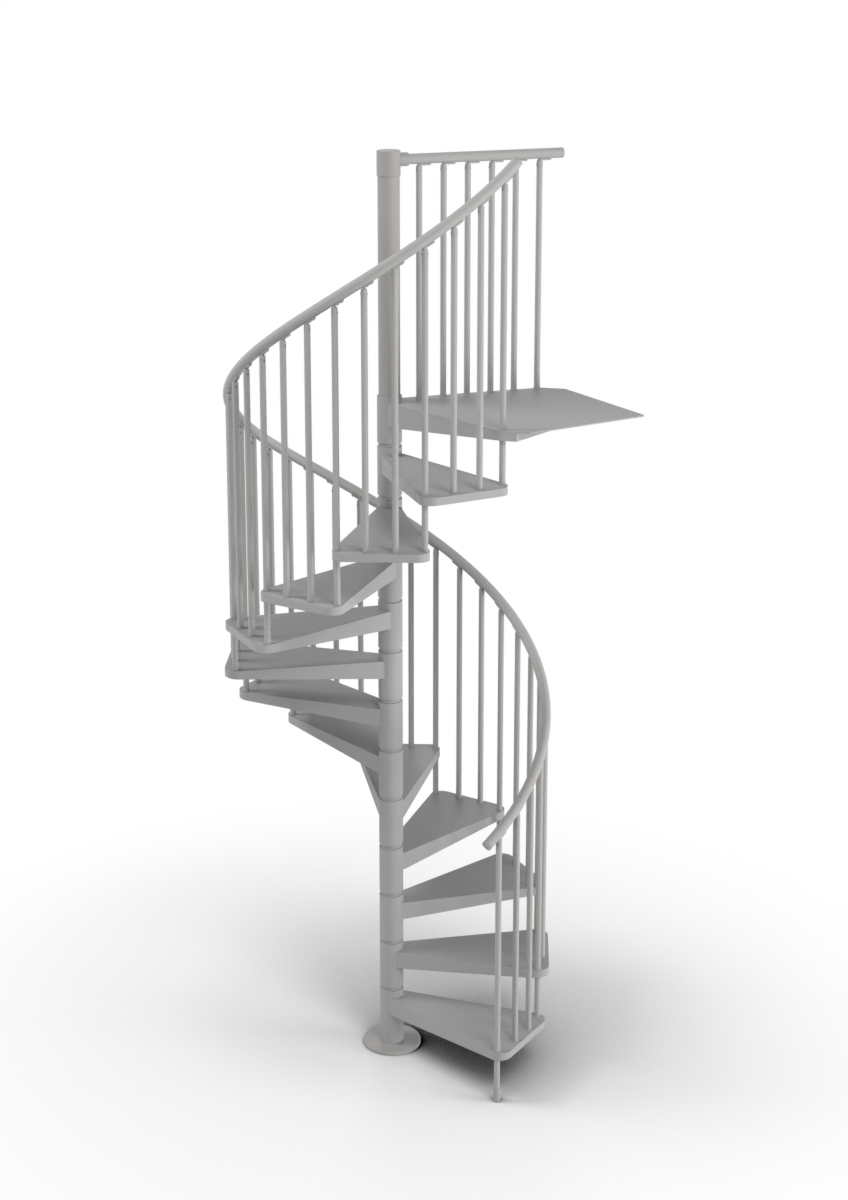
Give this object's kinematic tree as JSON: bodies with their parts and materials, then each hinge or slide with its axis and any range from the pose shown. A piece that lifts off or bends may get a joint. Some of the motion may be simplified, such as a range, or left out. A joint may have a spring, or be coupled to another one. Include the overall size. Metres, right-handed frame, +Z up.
{
  "type": "spiral staircase",
  "caption": "Spiral staircase in painted steel: pan treads on hubs stacked round a central pole, helical handrail on balusters, and a landing with a straight railing.",
  "frame": {"origin": "on the floor, at the pole's axis, in the middle of the base plate's underside", "axes": "+Z up along the pole; seen from the front along +Y, +X is to the right, and the landing lies on that side"},
  "size_m": [1.6868, 1.3612, 3.9076],
  "materials": {
    "paint": "satin light grey powder coat",
    "fittings": "satin grey moulded fittings"
  },
  "bodies": {
    "root": {"base_plate": "paint", "centre_pole": "paint", "spacer_rings": "paint", "tread_01": "paint", "tread_02": "paint", "tread_03": "paint", "tread_04": "paint", "tread_05": "paint", "tread_06": "paint", "tread_07": "paint", "tread_08": "paint", "tread_09": "paint", "tread_10": "paint", "tread_11": "paint", "tread_12": "paint", "landing_platform": "paint", "entry_post": "paint", "entry_post_foot": "fittings", "balusters_01": "paint", "balusters_02": "paint", "balusters_03": "paint", "balusters_04": "paint", "balusters_05": "paint", "balusters_06": "paint", "balusters_07": "paint", "balusters_08": "paint", "balusters_09": "paint", "balusters_10": "paint", "balusters_11": "paint", "balusters_12": "paint", "baluster_collars": "fittings", "rail_brackets": "fittings", "stair_handrail": "paint", "handrail_end_caps": "fittings", "landing_balusters": "paint", "landing_collars": "fittings", "landing_brackets": "fittings", "landing_handrail": "paint", "rail_socket": "fittings", "pole_cap": "paint"}
  },
  "joints": []
}
